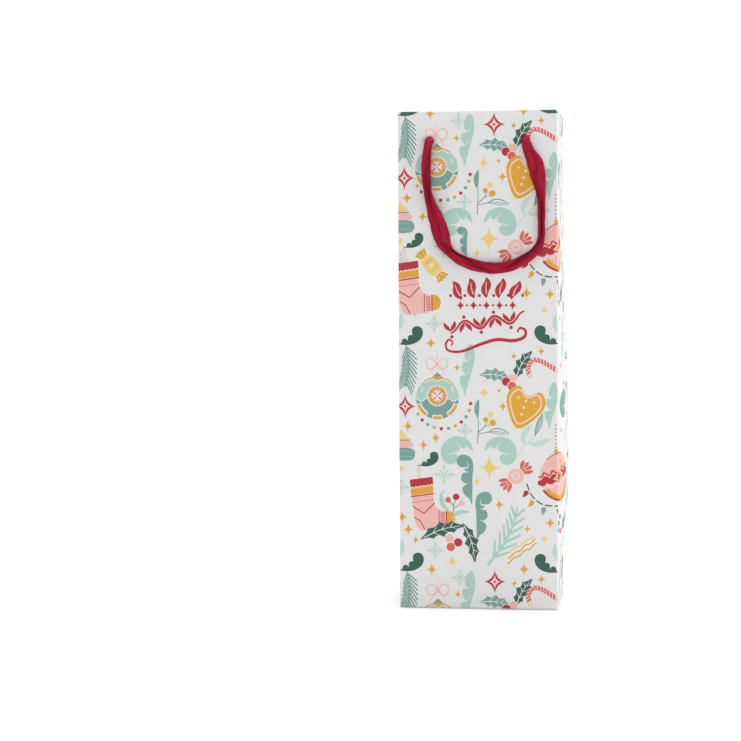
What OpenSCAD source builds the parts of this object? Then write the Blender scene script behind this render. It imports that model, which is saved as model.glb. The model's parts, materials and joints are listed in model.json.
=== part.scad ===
// Bottle gift bag: a block-bottomed paper bag with creased gussets and two ribbon handles.
// Frame: +Z up, front panel towards -Y, origin on the floor under the middle of the base.
// The bag stands open. Every flat stretch of paper between two creases is a solid of its own.

/* [Bag] */
// Width of the front panel
bag_w = 115; // [100:1:140]
// Depth of the side gussets
bag_d = 90; // [80:1:110]
// Height from the floor to the mouth
bag_h = 360; // [330:1:420]

/* [Paper and card] */
// Thickness of the printed paper
paper_t = 0.3; // [0.2:0.05:0.4]
// Thickness of the card strips behind the handles
card_t = 0.6; // [0.4:0.1:0.8]
// Thickness of the board that lies on the base
board_t = 1; // [0.6:0.1:1.2]
// Depth of the hem turned in at the mouth
hem_h = 40; // [30:1:45]
// Width of the glued side seam
seam_w = 15; // [10:1:20]

/* [Handles] */
// Width of the ribbon
ribbon_w = 12; // [8:0.5:14]
// Thickness of the ribbon
ribbon_t = 1.8; // [1:0.1:2]
// Diameter of the punched holes
hole_dia = 6; // [5.4:0.2:8]
// Distance between the two holes of one handle
hole_pitch = 69; // [60:1:80]
// Distance from the mouth down to the holes
hole_drop = 21; // [16:1:26]
// Diameter of the knot inside the bag
knot_dia = 12; // [10:1:14]

/* [Hidden] */

paper_white = [0.90, 0.89, 0.88];
paper_inside = [0.95, 0.95, 0.94];
card_grey = [0.80, 0.78, 0.74];
ribbon_red = [0.60, 0.05, 0.14];

gap = 0.05;            // between layers that lie on each other
slit = 0.3;            // between two stretches of paper that share a crease
foot_in = 0.35;        // a gusset's foot is set in, so that the gusset slides down outside it
corner_gap = 0.1;      // between a gusset's edge and the panel's wrap beside it
half_w = bag_w / 2;
half_d = bag_d / 2;
wrap = 2.4;            // how far the front and back panels wrap round each corner
corner_r = 0.9;        // outer radius of those corners
axis_y = half_d - wrap;    // the corner creases lie this far from the middle of the bag
gusset_run = axis_y - slit - corner_gap;   // and the gussets' own paper reaches this far

// Layers of the base, from the floor up
base_z1 = paper_t;
base_z2 = 2 * paper_t;
base_z3 = 3 * paper_t;
board_z = base_z3 + gap;
gusset_crease_z = board_z + board_t + 3 * gap + paper_t;        // the gusset feet fold over the board
back_crease_z = gusset_crease_z + 2 * paper_t;                  // and the back foot folds over them
body_z = base_z2 + gap;    // the front panel stands on the base here
foot_z = half_d;           // the back panel's cross crease
flap_cut = 10;             // slanting cut on a flap's corners
outer_flap_stop = 14;      // the outer flap stops this far from the front
inner_flap_stop = 24;      // and the inner flap this far from the back
side_flap_l = 36;          // length of a short flap
side_flap_taper = 0.6;     // its slanting edges, as a share of that length
board_in = 1.2;            // the board is this much smaller than the bag, all round

// Layers of the mouth, counted inwards from the outer face of a panel
strip_in = paper_t + gap;
hem_in = strip_in + card_t + gap;
wall_in = hem_in + paper_t;
gusset_hem_in = paper_t + gap;
hem_z = bag_h - hem_h;
hem_side = 1;          // the hem stops this far from a panel's edges
strip_side = 3.5;      // and the card strip this far
strip_above_hem = 2;   // the strip's lower edge, above the hem's
strip_drop = 1;        // its upper edge, below the mouth
seam_stop = 1;         // the seam tab stops this far from the cross crease and the hem

hole_z = bag_h - hole_drop;
hole_x = hole_pitch / 2;
punch_out = 2;                     // the punch starts this far outside the panel
punch_l = 8;                       // and is this long
thread_gap = 0.4;                  // between the ribbon and the hole's edge
thread_r = hole_dia / 2 - thread_gap;   // the ribbon where it is gathered in the hole
eye_r = 1.9;                       // the ribbon where it bends down outside the hole
eye_gap = 0.3;                     // between that bend and the panel
handle_y = half_d + eye_r + eye_gap;    // the handle swings about this line
knot_t = 6;                        // thickness of a knot
tail_l = 15;                       // length of its tail
tail_in_knot = 3;                  // of which this much is inside the knot
tail_share = 0.7;                  // the tail's width, as a share of the ribbon's

// The front handle's route, seen from the front: X and Z, from the left hole to the right hole
handle_route = [
    [-hole_x, hole_z], [-36, hole_z - 8], [-36.6, 322], [-36.5, 312], [-35.3, 301], [-32.4, 291],
    [-28.8, 280], [-25.8, 270.5], [-22.8, 263], [-17.5, 257], [-9.5, 252.2], [1, 248.7],
    [13, 247.3], [24.5, 249.2], [35, 254.2], [43, 260.8], [45.8, 269.5], [46, 280],
    [46, 291], [45.6, 301], [43.8, 312], [41.4, 322], [37, hole_z - 8], [hole_x, hole_z]
];

// ---------- helpers ----------

function arc(cx, cy, r, from, to, steps = 6) =
    [for (i = [0:steps]) let (a = from + (to - from) * i / steps) [cx + r * cos(a), cy + r * sin(a)]];

// Plan of a panel that wraps round both corners, with its outer face at y = -half_d.
module channel_plan() {
    outer = concat(
        [[-half_w, -axis_y - gap]],
        arc(-half_w + corner_r, -half_d + corner_r, corner_r, 180, 270),
        arc(half_w - corner_r, -half_d + corner_r, corner_r, 270, 360),
        [[half_w, -axis_y - gap]]
    );
    inner_r = corner_r - paper_t;
    inner = concat(
        [[half_w - paper_t, -axis_y - gap]],
        arc(half_w - corner_r, -half_d + corner_r, inner_r, 360, 270),
        arc(-half_w + corner_r, -half_d + corner_r, inner_r, 270, 180),
        [[-half_w + paper_t, -axis_y - gap]]
    );
    polygon(concat(outer, inner));
}

// The two punched holes, through everything near y = -half_d.
module hole_pair() {
    for (side = [-1, 1])
        translate([side * hole_x, -half_d - punch_out, hole_z])
            rotate([-90, 0, 0]) cylinder(r = hole_dia / 2, h = punch_l, $fn = 48);
}

// A plate in the XZ plane that stops at a distance from both edges of the front, between depths y0 and y1
// behind its outer face.
module front_plate(stop, z0, z1, y0, y1) {
    translate([-half_w + stop, -half_d + y0, z0]) cube([bag_w - 2 * stop, y1 - y0, z1 - z0]);
}

// An outline drawn as [y, z], made into a plate whose outer face lies at x = half_w - inset.
module gusset_plate(outline, inset = 0) {
    translate([half_w - inset - paper_t, 0, 0])
        rotate([90, 0, 90]) linear_extrude(height = paper_t) polygon(outline);
}

// ---------- front and back ----------

module panel(z0) {
    difference() {
        translate([0, 0, z0]) linear_extrude(height = bag_h - z0) channel_plan();
        hole_pair();
    }
}

module top_hem() {
    difference() {
        union() {
            front_plate(hem_side, hem_z, bag_h, hem_in, wall_in);
            front_plate(hem_side, bag_h - paper_t, bag_h, strip_in, wall_in);
        }
        hole_pair();
    }
}

module card_strip() {
    difference() {
        front_plate(strip_side, hem_z + strip_above_hem, bag_h - strip_drop, strip_in, strip_in + card_t);
        hole_pair();
    }
}

module seam_tab() {
    translate([-half_w + corner_r + gap, half_d - 2 * paper_t - gap, foot_z + seam_stop])
        cube([seam_w, paper_t, hem_z - foot_z - 2 * seam_stop]);
}

module foot_of_back() {
    translate([-half_w, half_d - paper_t, back_crease_z + slit])
        cube([bag_w, paper_t, foot_z - back_crease_z - slit - gap]);
}

// ---------- gussets ----------

// The half behind the middle crease, on the right. Below the cross crease it reaches the corner.
module gusset_rear() {
    end = half_d - paper_t - gap;
    gusset_plate([
        [gap, half_d + slit], [gusset_run, half_d - gusset_run + slit],
        [end, half_d - gusset_run + slit], [end, foot_z - slit], [gusset_run, foot_z],
        [gusset_run, bag_h], [gap, bag_h]
    ]);
}

module gusset_front() {
    gusset_plate([
        [-gap, half_d + slit], [-gap, bag_h], [-gusset_run, bag_h],
        [-gusset_run, half_d - gusset_run + slit]
    ]);
}

module gusset_hem() {
    inner = 0.4;                   // clear of the middle crease
    outer = gusset_run - 0.2;      // and of the corner
    gusset_plate([[inner, hem_z], [outer, hem_z], [outer, bag_h], [inner, bag_h]], gusset_hem_in);
}

// The triangle at the foot of a gusset, which folds down onto the board.
module gusset_foot() {
    z0 = gusset_crease_z + slit;
    end = half_d - slit - z0;
    gusset_plate([[-end, z0], [end, z0], [0, half_d - slit]], foot_in);
}

// ---------- base ----------

// The rear flap is glued on last and shows underneath. Its lip reaches up to the back's crease.
module outer_flap() {
    reach = -half_d + outer_flap_stop;
    linear_extrude(height = base_z1) polygon([
        [-half_w, half_d], [half_w, half_d], [half_w, reach + flap_cut], [half_w - flap_cut, reach],
        [-half_w + flap_cut, reach], [-half_w, reach + flap_cut]
    ]);
    translate([-half_w, half_d - paper_t, 0]) cube([bag_w, paper_t, back_crease_z - paper_t - gap]);
}

module inner_flap() {
    reach = half_d - inner_flap_stop;
    translate([0, 0, base_z1]) linear_extrude(height = base_z2 - base_z1) polygon([
        [-half_w, -half_d], [half_w, -half_d], [half_w, reach - flap_cut], [half_w - flap_cut, reach],
        [-half_w + flap_cut, reach], [-half_w, reach - flap_cut]
    ]);
}

// The short flap under a gusset, on the right, with the lip that reaches up to the gusset's crease.
module side_flap() {
    taper = side_flap_l * side_flap_taper;
    translate([0, 0, base_z2 + gap]) linear_extrude(height = base_z3 - base_z2 - gap) polygon([
        [half_w - foot_in, -gusset_run], [half_w - foot_in, gusset_run],
        [half_w - side_flap_l, gusset_run - taper], [half_w - side_flap_l, taper - gusset_run]
    ]);
    translate([half_w - foot_in - paper_t, -gusset_run, base_z2 + gap])
        cube([paper_t, 2 * gusset_run, gusset_crease_z - paper_t - base_z2 - 3 * gap]);
}

module board() {
    translate([-half_w + board_in, -half_d + board_in, board_z])
        cube([bag_w - 2 * board_in, bag_d - 2 * board_in, board_t]);
}

// ---------- handles ----------

function unit(v) = v / norm(v);
function along(points, i) =
    unit(points[min(i + 1, len(points) - 1)] - points[max(i - 1, 0)]);
// One long edge of the ribbon, side = 1 or -1, as an offset of the route.
function edge(points, side) = [
    for (i = [0:len(points) - 1])
        let (t = along(points, i)) points[i] + side * ribbon_w / 2 * [-t[1], t[0]]
];
function reversed(points) = [for (i = [len(points) - 1:-1:0]) points[i]];

// The flat loop hangs in one plane. Each end is rolled round the line it swings about.
module ribbon_loop() {
    band = concat(edge(handle_route, 1), reversed(edge(handle_route, -1)));
    translate([0, -handle_y + ribbon_t / 2, 0])
        rotate([90, 0, 0]) linear_extrude(height = ribbon_t) polygon(band);
    for (side = [-1, 1])
        translate([side * hole_x - ribbon_w / 2, -handle_y, hole_z])
            rotate([0, 90, 0]) cylinder(r = eye_r, h = ribbon_w, $fn = 32);
}

// The ribbon goes through the hole, and is tied in a knot with a short tail inside.
module knot() {
    seat = half_d - wall_in - 2 * gap;
    tail_w = ribbon_w * tail_share;
    translate([0, -half_d, 0]) rotate([-90, 0, 0])
        cylinder(r = thread_r, h = half_d - seat + 1, $fn = 32);
    translate([0, -seat, 0]) rotate([-90, 0, 0]) rotate_extrude($fn = 48)
        polygon(concat([[0, 0]], [
            for (a = [-60:20:60]) [knot_dia / 2 * cos(a), knot_t / 2 * (1 + sin(a) / sin(60))]
        ], [[0, knot_t]]));
    translate([-tail_w / 2, -seat + knot_t / 2 - ribbon_t / 2, -knot_dia / 2 - tail_l + tail_in_knot])
        cube([tail_w, ribbon_t, tail_l]);
}

module knot_pair() {
    for (side = [-1, 1]) translate([side * hole_x, 0, hole_z]) knot();
}

// ---------- both sides of the bag ----------

module at_back() { mirror([0, 1, 0]) children(); }
module at_left() { mirror([1, 0, 0]) children(); }

// ---------- the pieces ----------

module base_outer_flap() { color(paper_white) outer_flap(); }
module base_inner_flap() { color(paper_inside) inner_flap(); }
module base_right_flap() { color(paper_inside) side_flap(); }
module base_left_flap() { color(paper_inside) at_left() side_flap(); }
module base_board() { color(card_grey) board(); }
module right_gusset_foot() { color(paper_white) gusset_foot(); }
module left_gusset_foot() { color(paper_white) at_left() gusset_foot(); }
module back_foot() { color(paper_white) foot_of_back(); }
module back_panel() { color(paper_white) at_back() panel(foot_z + gap); }
module back_top_hem() { color(paper_white) at_back() top_hem(); }
module back_card_strip() { color(card_grey) at_back() card_strip(); }
module back_knots() { color(ribbon_red) at_back() knot_pair(); }
module side_seam_tab() { color(paper_inside) seam_tab(); }
module right_gusset_rear() { color(paper_white) gusset_rear(); }
module right_gusset_rear_hem() { color(paper_white) gusset_hem(); }
module right_gusset_front() { color(paper_white) gusset_front(); }
module right_gusset_front_hem() { color(paper_white) at_back() gusset_hem(); }
module front_panel() { color(paper_white) panel(body_z); }
module front_top_hem() { color(paper_white) top_hem(); }
module front_card_strip() { color(card_grey) card_strip(); }
module front_knots() { color(ribbon_red) knot_pair(); }
module left_gusset_front() { color(paper_white) at_left() gusset_front(); }
module left_gusset_front_hem() { color(paper_white) at_left() at_back() gusset_hem(); }
module left_gusset_rear() { color(paper_white) at_left() gusset_rear(); }
module left_gusset_rear_hem() { color(paper_white) at_left() gusset_hem(); }
module front_handle() { color(ribbon_red) ribbon_loop(); }
module back_handle() { color(ribbon_red) at_back() ribbon_loop(); }

base_outer_flap();
base_inner_flap();
base_right_flap();
base_left_flap();
base_board();
right_gusset_foot();
left_gusset_foot();
back_foot();
back_panel();
back_top_hem();
back_card_strip();
back_knots();
side_seam_tab();
right_gusset_rear();
right_gusset_rear_hem();
right_gusset_front();
right_gusset_front_hem();
front_panel();
front_top_hem();
front_card_strip();
front_knots();
left_gusset_front();
left_gusset_front_hem();
left_gusset_rear();
left_gusset_rear_hem();
front_handle();
back_handle();
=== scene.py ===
"""The looks of a printed paper bottle bag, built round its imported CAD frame.

The bag is one printed sheet. Each stretch of it between two creases is a thin solid with its own print,
cut from one wallpaper that runs on over the creases. Lengths here are in millimetres until mesh_from().
"""
import json
import math

import bpy
import numpy as np
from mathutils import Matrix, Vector
from mathutils.geometry import delaunay_2d_cdt


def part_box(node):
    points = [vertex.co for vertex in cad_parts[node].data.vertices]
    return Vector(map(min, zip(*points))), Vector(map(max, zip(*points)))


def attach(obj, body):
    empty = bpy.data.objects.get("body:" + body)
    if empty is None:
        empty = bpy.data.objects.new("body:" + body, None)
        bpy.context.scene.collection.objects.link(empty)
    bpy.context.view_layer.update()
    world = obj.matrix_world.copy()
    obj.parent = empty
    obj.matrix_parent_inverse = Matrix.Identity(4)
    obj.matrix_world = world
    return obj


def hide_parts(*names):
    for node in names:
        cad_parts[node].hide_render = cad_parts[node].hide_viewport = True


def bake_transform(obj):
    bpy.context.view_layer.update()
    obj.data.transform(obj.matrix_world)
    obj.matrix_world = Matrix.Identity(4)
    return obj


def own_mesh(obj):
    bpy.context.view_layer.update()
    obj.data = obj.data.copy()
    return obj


MM = 0.001
PI = math.pi

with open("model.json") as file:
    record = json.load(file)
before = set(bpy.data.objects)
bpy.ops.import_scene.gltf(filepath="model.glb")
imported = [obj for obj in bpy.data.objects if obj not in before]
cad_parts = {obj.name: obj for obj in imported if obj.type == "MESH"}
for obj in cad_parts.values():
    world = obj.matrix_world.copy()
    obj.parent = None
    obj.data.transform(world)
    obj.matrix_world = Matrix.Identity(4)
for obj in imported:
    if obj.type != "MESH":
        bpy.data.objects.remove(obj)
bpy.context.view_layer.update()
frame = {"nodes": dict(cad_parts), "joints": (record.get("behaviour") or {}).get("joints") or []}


# ---------- sizes, all from the frame ----------

def mm_box(node):
    low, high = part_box(node)
    return np.array(low) / MM, np.array(high) / MM


def hinge(name):
    """Where a joint's axis lies."""
    return np.array(next(j["pos_m"] for j in frame["joints"] if j["name"] == name)) / MM


front_low, front_high = mm_box("front_panel")
hem_low, hem_high = mm_box("front_top_hem")
W = front_high[0]                       # half the width
D = -front_low[1]                       # half the depth
H = front_high[2]                       # height of the mouth
PAPER = mm_box("back_foot")[1][1] - mm_box("back_foot")[0][1]
WALL = D + hem_high[1]                  # from a panel's outer face to its hem's inner face
HEM_Z = hem_low[2]
HEM_HALF_W = hem_high[0]
GUSSET_WALL = W - mm_box("right_gusset_rear_hem")[0][0]
GUSSET_HEM = mm_box("right_gusset_rear_hem")
CORNER_Y = hinge("right_rear_corner")[1]    # the creases beside the front and back
CROSS_Z = hinge("back_crease")[2]           # the creases that the bag folds up along
BACK_FOOT_Z = hinge("fold")[2]
FOOT_X = hinge("right_foot_crease")[0]
FOOT_Z = hinge("right_foot_crease")[2]
BODY_Z = front_low[2]
HOLE_Z = hinge("front_handle_swing")[2]
HOLE_X = 34.5
HOLE_R = 3.0
RIBBON_W = 12.0
CORNER_R = 0.9
SLIT = 0.01                             # between two sheets that share a crease
BOW_RIGHT, BOW_LEFT = 5.2, 2.2          # how far the gussets bulge
BACK_CORNER = D - PAPER - 0.02          # where a gusset meets the back foot, below the cross crease
GRID = 6.0                              # between the mesh points inside a sheet


def smooth(x, low, high):
    """0 below low, 1 above high, and a smooth step between."""
    t = np.clip((np.asarray(x, float) - low) / (high - low), 0, 1)
    return t * t * (3 - 2 * t)


# ---------- camera ----------

def add_camera():
    """The photo's view: from the front, a little to the bag's right, with the bag right of centre."""
    distance, height = 1.5, 0.2569      # in metres, from the front panel and above the floor
    azimuth, aside, pitch, roll = (math.radians(angle) for angle in (4.88, 2.945, 3.17, 0.3))
    camera = bpy.data.objects.new("camera", bpy.data.cameras.new("camera"))
    camera.data.lens = 101
    camera.data.sensor_width = 36
    camera.data.clip_start = 0.01
    camera.location = (distance * math.sin(azimuth), -D * MM - distance * math.cos(azimuth), height)
    camera.rotation_euler = (PI / 2 - pitch, roll, azimuth + aside)
    bpy.context.scene.collection.objects.link(camera)
    bpy.context.scene.camera = camera


# ---------- curves and outlines ----------

def curve(points, steps=6, closed=False):
    """A smooth Catmull-Rom curve through the points."""
    p = np.asarray(points, float)
    if closed:
        p = np.vstack([p[-1], p, p[:2]])
    else:
        p = np.vstack([2 * p[0] - p[1], p, 2 * p[-1] - p[-2]])
    t = np.arange(steps)[:, None] / steps
    line = [
        (2 * b + (c - a) * t + (2 * a - 5 * b + 4 * c - d) * t ** 2 + (3 * b - a - 3 * c + d) * t ** 3) / 2
        for a, b, c, d in zip(p, p[1:], p[2:], p[3:])
    ]
    return np.vstack(line if closed else line + [p[-2]])


def evenly(line, count):
    """The same line with its points evenly spaced."""
    run = np.r_[0, np.cumsum(np.linalg.norm(np.diff(line, axis=0), axis=1))]
    at = np.linspace(0, run[-1], count)
    return np.column_stack([np.interp(at, run, line[:, k]) for k in range(line.shape[1])])


def tangents(line):
    t = np.gradient(line, axis=0)
    return t / np.linalg.norm(t, axis=1)[:, None]


def arc(x, y, rx, ry=None, start=0, end=360, count=20):
    ry = rx if ry is None else ry
    whole = abs(end - start) >= 360
    a = np.radians(np.linspace(start, end, count, endpoint=not whole))
    return np.column_stack([x + rx * np.cos(a), y + ry * np.sin(a)])


def band(inner, outer, start, end, count=12):
    """A piece of a ring round the origin."""
    return np.vstack([arc(0, 0, outer, None, start, end, count), arc(0, 0, inner, None, end, start, count)])


def stroke(points, width, tip=1.0, steps=5, swell=0.0):
    """A line of ink with round ends. tip is the share of its width that is left at its far end, and swell the
    share that it loses at both ends, as a pen's line does."""
    line = curve(points, steps) if len(points) > 2 else np.asarray(points, float)
    t = tangents(line)
    side = np.column_stack([-t[:, 1], t[:, 0]])
    share = np.linspace(0, 1, len(line))
    half = width / 2 * (1 + (tip - 1) * share) * (1 - swell + swell * np.sin(PI * share))
    half = half[:, None]
    turn = np.linspace(0, PI, 5)[1:-1, None]
    far = line[-1] + half[-1] * (side[-1] * np.cos(turn) + t[-1] * np.sin(turn))
    near = line[0] - half[0] * (side[0] * np.cos(turn) + t[0] * np.sin(turn))
    return np.vstack([line + side * half, far, (line - side * half)[::-1], near])


def star(rx, ry=None, power=0.52, steps=4):
    """A four-pointed star with hollow sides."""
    ry = rx if ry is None else ry
    a = np.arange(4 * steps) * PI / 2 / steps
    c, s = np.cos(a), np.sin(a)
    x = rx * np.sign(c) * np.abs(c) ** (2 / power) * (np.abs(c) > 1e-6)
    y = ry * np.sign(s) * np.abs(s) ** (2 / power) * (np.abs(s) > 1e-6)
    return np.column_stack([x, y])


def blade(spine, width, lobes=0, notch=0.5, both=False, spiked=False, blunt=None, count=32):
    """A leaf or scroll along a spine. Its edge, on one side or both, has round lobes or sharp spikes.
    It is pointed at both ends, or blunt and round over that share of its start."""
    line = evenly(curve(spine), count)
    t = np.linspace(0, 1, count)
    if blunt:
        half = np.sqrt(np.clip(1 - (1 - np.minimum(t / blunt, 1)) ** 2, 0, 1)) * (1 - t) ** 0.75
    else:
        half = np.sin(PI * t) ** 0.85
    wave = np.abs(np.sin(PI * lobes * t)) ** (0.8 if spiked else 0.55)
    edge = half * (1 - notch * wave if spiked else 1 - notch + notch * wave) if lobes else half
    along = tangents(line)
    side = np.column_stack([-along[:, 1], along[:, 0]]) * width / 2
    return np.vstack([line + side * edge[:, None], (line - side * (edge if both else half)[:, None])[::-1]])


def put(shapes, x, y, turn=0, size=1, flip=False):
    """The shapes moved to x, y, after they are flipped left to right, sized and turned."""
    c, s = math.cos(math.radians(turn)) * size, math.sin(math.radians(turn)) * size
    matrix = np.array([[-c if flip else c, -s if flip else s], [-s, c]])
    return [(ink, outline @ matrix + (x, y)) for ink, outline in shapes]


def turned(shapes, angles):
    """A copy of the shapes at each angle about the origin."""
    return [shape for angle in angles for shape in put(shapes, 0, 0, angle)]


def disc(ink, x, y, r, count):
    return [(ink, arc(x, y, r, count=count))]


def pen(ink, width, *routes, tip=1.0):
    """A stroke of ink along each route."""
    return [(ink, stroke(route, width, tip)) for route in routes]


# ---------- inks ----------

def linear(value):
    value = np.asarray(value, float) / 255
    return np.where(value <= 0.04045, value / 12.92, ((value + 0.055) / 1.055) ** 2.4)


INKS = {
    "paper": (223, 224, 223), "crimson": (182, 44, 56), "coral": (212, 98, 84), "pink": (232, 182, 174),
    "blush": (234, 206, 200), "gold": (219, 162, 48), "lemon": (234, 202, 120), "mint": (168, 202, 190),
    "frost": (188, 212, 204), "teal": (117, 159, 151), "green": (54, 94, 80),
}
INK_NAMES = list(INKS)
PAPER_ALBEDO = 0.71                     # of the unprinted sheet
ALBEDO = np.array([linear(INKS[n]) / linear(224) * PAPER_ALBEDO for n in INK_NAMES])


# ---------- motifs: each is a list of (ink, outline), painted in that order ----------

def gold_star(r):
    return [("gold", star(r * 1.04, r * 1.28, 0.41, 5))]


def sparkle(r):
    """A pale star of four long points and four short ones."""
    short = [("lemon", star(r * 0.5, power=0.5))]
    return [("lemon", star(r * 0.84, r * 1.18, 0.42, 5))] + turned(short, [45])


def crimson_star():
    r = 8.8
    return [
        ("crimson", star(r * 0.96, r * 1.08, 0.56, 6)), ("blush", star(r * 0.52, r * 0.64, 0.56, 6)),
        *disc("crimson", 0, 0, r * 0.1, 8),
    ]


def snowflake(r):
    """Four long arms with two bars each, and four short plain arms between them."""
    bars = [[(-r * 0.17, r * f), (r * 0.17, r * f)] for f in (0.55, 0.78)]
    long_arm = pen("mint", 0.6, [(0, r * 0.12), (0, r)]) + pen("mint", 0.5, *bars)
    short_arm = pen("mint", 0.6, [(0, r * 0.12), (0, r * 0.62)])
    return [shape for k in range(8) for shape in turned(short_arm if k % 2 else long_arm, [45 * k])]


def dots(points, inks, r=1.3):
    return [(inks[k % len(inks)], arc(x, y, r, count=10)) for k, (x, y) in enumerate(points)]


def bow(ink="pink"):
    half = pen(ink, 1.1, [(0, 0), (4.5, 5.6), (9.5, 4.6), (9.8, -1.5), (6, -4.6), (1, -0.8)])
    half += pen(ink, 1.1, [(0.4, -0.6), (3.4, -4), (8, -10.5)], tip=0.6)
    knot = [(ink, arc(0, -0.4, 1.9, 2.2, count=12))] + pen(ink, 1.0, [(0, 2), (0.4, 12)], tip=0.5)
    return half + put(half, 0, 0, flip=True) + knot


def bauble(r):
    """A round ornament in two greens with a wavy line between them, gold dashes below and a rosette."""
    wave = [(x, -1.4 + 1.2 * math.cos(x * 0.8)) for x in np.linspace(-r * 0.985, r * 0.985, 17)]
    scallops = [(-9, 11), (-4.5, 13.6), (0, 12.4), (4.5, 13.6), (9, 11)]
    shapes = [
        ("teal", [(-3.8, r - 0.4), (0, r + 3.2), (3.8, r - 0.4)]),
        ("mint", arc(0, 0, r, count=48)),
        ("teal", np.vstack([curve(wave, 3), arc(0, 0, r, None, -3, -177, 26)])),
        ("paper", stroke(wave, 0.8, steps=3)),
        ("gold", np.vstack([arc(0, 0, r, None, 52, 128, 14), scallops])), *pen("paper", 0.8, scallops),
    ]
    for start, end in ((200, 236), (304, 340), (258, 282)):
        shapes.append(("paper", band(r * 0.79, r * 1.01, start - 3, end + 3)))
        shapes.append(("gold", band(r * 0.86, r, start, end)))
    shapes += [("blush", arc(x, 6.2, 0.8, 2.0, count=12)) for x in (-11, 11)]
    rosette = disc("paper", 0, 0, 7.6, 32) + disc("gold", 0, 0, 6.7, 32) + disc("paper", 0, 0, 4.1, 20)
    tick = [("paper", band(4, 7, 83, 97, 4)), ("crimson", band(3, 7, 86.5, 93.5, 4))]
    tick += put([("coral", arc(0, 0, 1.5, 0.6, count=8))], 1.9, 1.9, 45)
    rosette += turned(tick, (0, 90, 180, 270))
    return shapes + put(rosette + disc("pink", 0, 0, 1.2, 10), 0, 1.6)


def pink_bauble():
    """A pink ornament with zigzags round a star, on a chain of beads."""
    r = 17
    zigzag = [(x, 1.6 * math.cos(x)) for x in np.linspace(-r, r, 17)]
    shapes = [
        *disc("gold", 0, r + 1.6, 2.2, 14), ("crimson", band(r - 1.4, r + 0.6, 60, 120)),
        *disc("pink", 0, 0, r, 48),
    ]
    for ink, y, width in (("crimson", 4.6, 1.1), ("crimson", 0, 4.2), ("paper", -4.4, 0.8)):
        shapes.append((ink, stroke(np.add(zigzag, (0, y)), width, steps=3)))
    shapes.append(("gold", band(r * 0.8, r * 0.97, 205, 335, 20)))
    shapes.append(("crimson", band(r * 0.97, r * 1.06, 200, 340, 20)))
    for ink, size in (("paper", 7.8), ("gold", 6.6), ("crimson", 3.4)):
        shapes.append((ink, star(size, power=0.75, steps=5)))
    return shapes + dots([(0.65 * k, r + 5 + 2.6 * k) for k in range(7)], ["crimson"], 0.55)


def gift():
    shapes = [
        ("lemon", [(-6, 6), (0, 13), (6, 6)]), *pen("green", 0.6, [(-6.6, 5.4), (6.6, 5.4)]),
        ("pink", curve([(-6.6, 4.6), (6.6, 4.6), (7.6, 0), (-7.6, 0)], 3, True)),
        *pen("paper", 0.6, [(-8, -0.6), (8, -0.6)]),
        ("teal", curve([(-8.6, -1), (8.6, -1), (8.9, -8.4), (0, -9.6), (-8.9, -8.4)], 3, True)),
    ]
    return shapes + dots([(x, y) for y in (-2.6, -6.6) for x in np.arange(-7.4, 8, 1.7)], ["mint"], 0.4)


def comma(ink="mint"):
    """A short arch with a round curled head, and a lobed hollow side."""
    outline = [
        (15, 0.6), (12.6, 7.8), (5, 11.4), (-3, 9.6), (-8, 3), (-7.4, -5.2), (-2.4, -9), (2.6, -7.6),
        (4, -3.4), (1.8, -0.6), (4.6, 0.8), (6, 3.4), (8.6, 2.6), (10.6, 4), (12.6, 2.4),
    ]
    return [
        (ink, curve(outline, 4, True)), *pen("paper", 0.8, [(1.4, -0.4), (-1.8, -1.6), (-4.2, -1)], tip=0.3),
        *pen("paper", 0.7, [(5.8, 3.8), (4, 6), (3.4, 8)], tip=0.3),
        *pen("paper", 0.6, [(10.2, 4.2), (9.4, 6.2)], tip=0.4),
    ]


def tall_scroll(ink="teal"):
    """A tall scroll with a round head, two lobes down its left side and a pointed foot."""
    outline = [
        (-0.4, 18), (4.5, 15.6), (6.2, 10.1), (5.6, 2), (5.4, -7), (5.2, -18.4), (3.4, -14.3), (-0.4, -11),
        (-1.8, -6.1), (0.6, -3.6), (-2.6, -0.4), (-1.8, 4.2), (1, 5.4), (-0.6, 7.2), (1.2, 8.8), (-3.4, 9),
        (-6, 12.8), (-4.2, 17),
    ]
    veins = [[(1, 7.8), (2.6, 10.2), (1.8, 12.6)], [(0.2, 5.2), (2.6, 5.6)], [(0.2, -3.6), (2.8, -2.8)]]
    return [(ink, curve(outline, 4, True))] + pen("paper", 0.7, *veins, tip=0.4)


def plume():
    """A feather with three lobes down its left side, pointed at its foot."""
    outline = [
        (2.5, 19), (4.9, 14.6), (5.2, 7.4), (3.4, 0.2), (1.3, -7), (-0.2, -12.5), (-1.8, -19), (-2.8, -14.4),
        (-5.2, -9.4), (-5.2, -4.6), (-1.7, -3.4), (-4, 0.8), (-3.6, 5.6), (-0.4, 6), (-2.2, 10), (-1.2, 15.2),
        (0.6, 18),
    ]
    veins = [[(-1.8, -3.4), (0.6, -1.2), (1.4, 1.4)], [(-0.6, 6), (1.8, 8), (2.8, 11)]]
    return [("mint", curve(outline, 4, True))] + pen("paper", 0.6, *veins, tip=0.3)


def scroll_leaf():
    """A lying leaf with a round head, two more lobes along its back and a long tail."""
    outline = [
        (-11.6, -7), (-7.4, -6.4), (-6.2, -3.2), (-3.2, -2.4), (-1.6, -4.2), (-1, -0.2), (2.6, 0.8),
        (3.6, -1.4), (2.2, 2.6), (2.6, 6.4), (6.2, 8.4), (10.2, 7), (11.8, 2.6), (10, -2.4), (5.2, -6.2),
        (-2, -8),
    ]
    return [("green", curve(outline, 5, True))]


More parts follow.
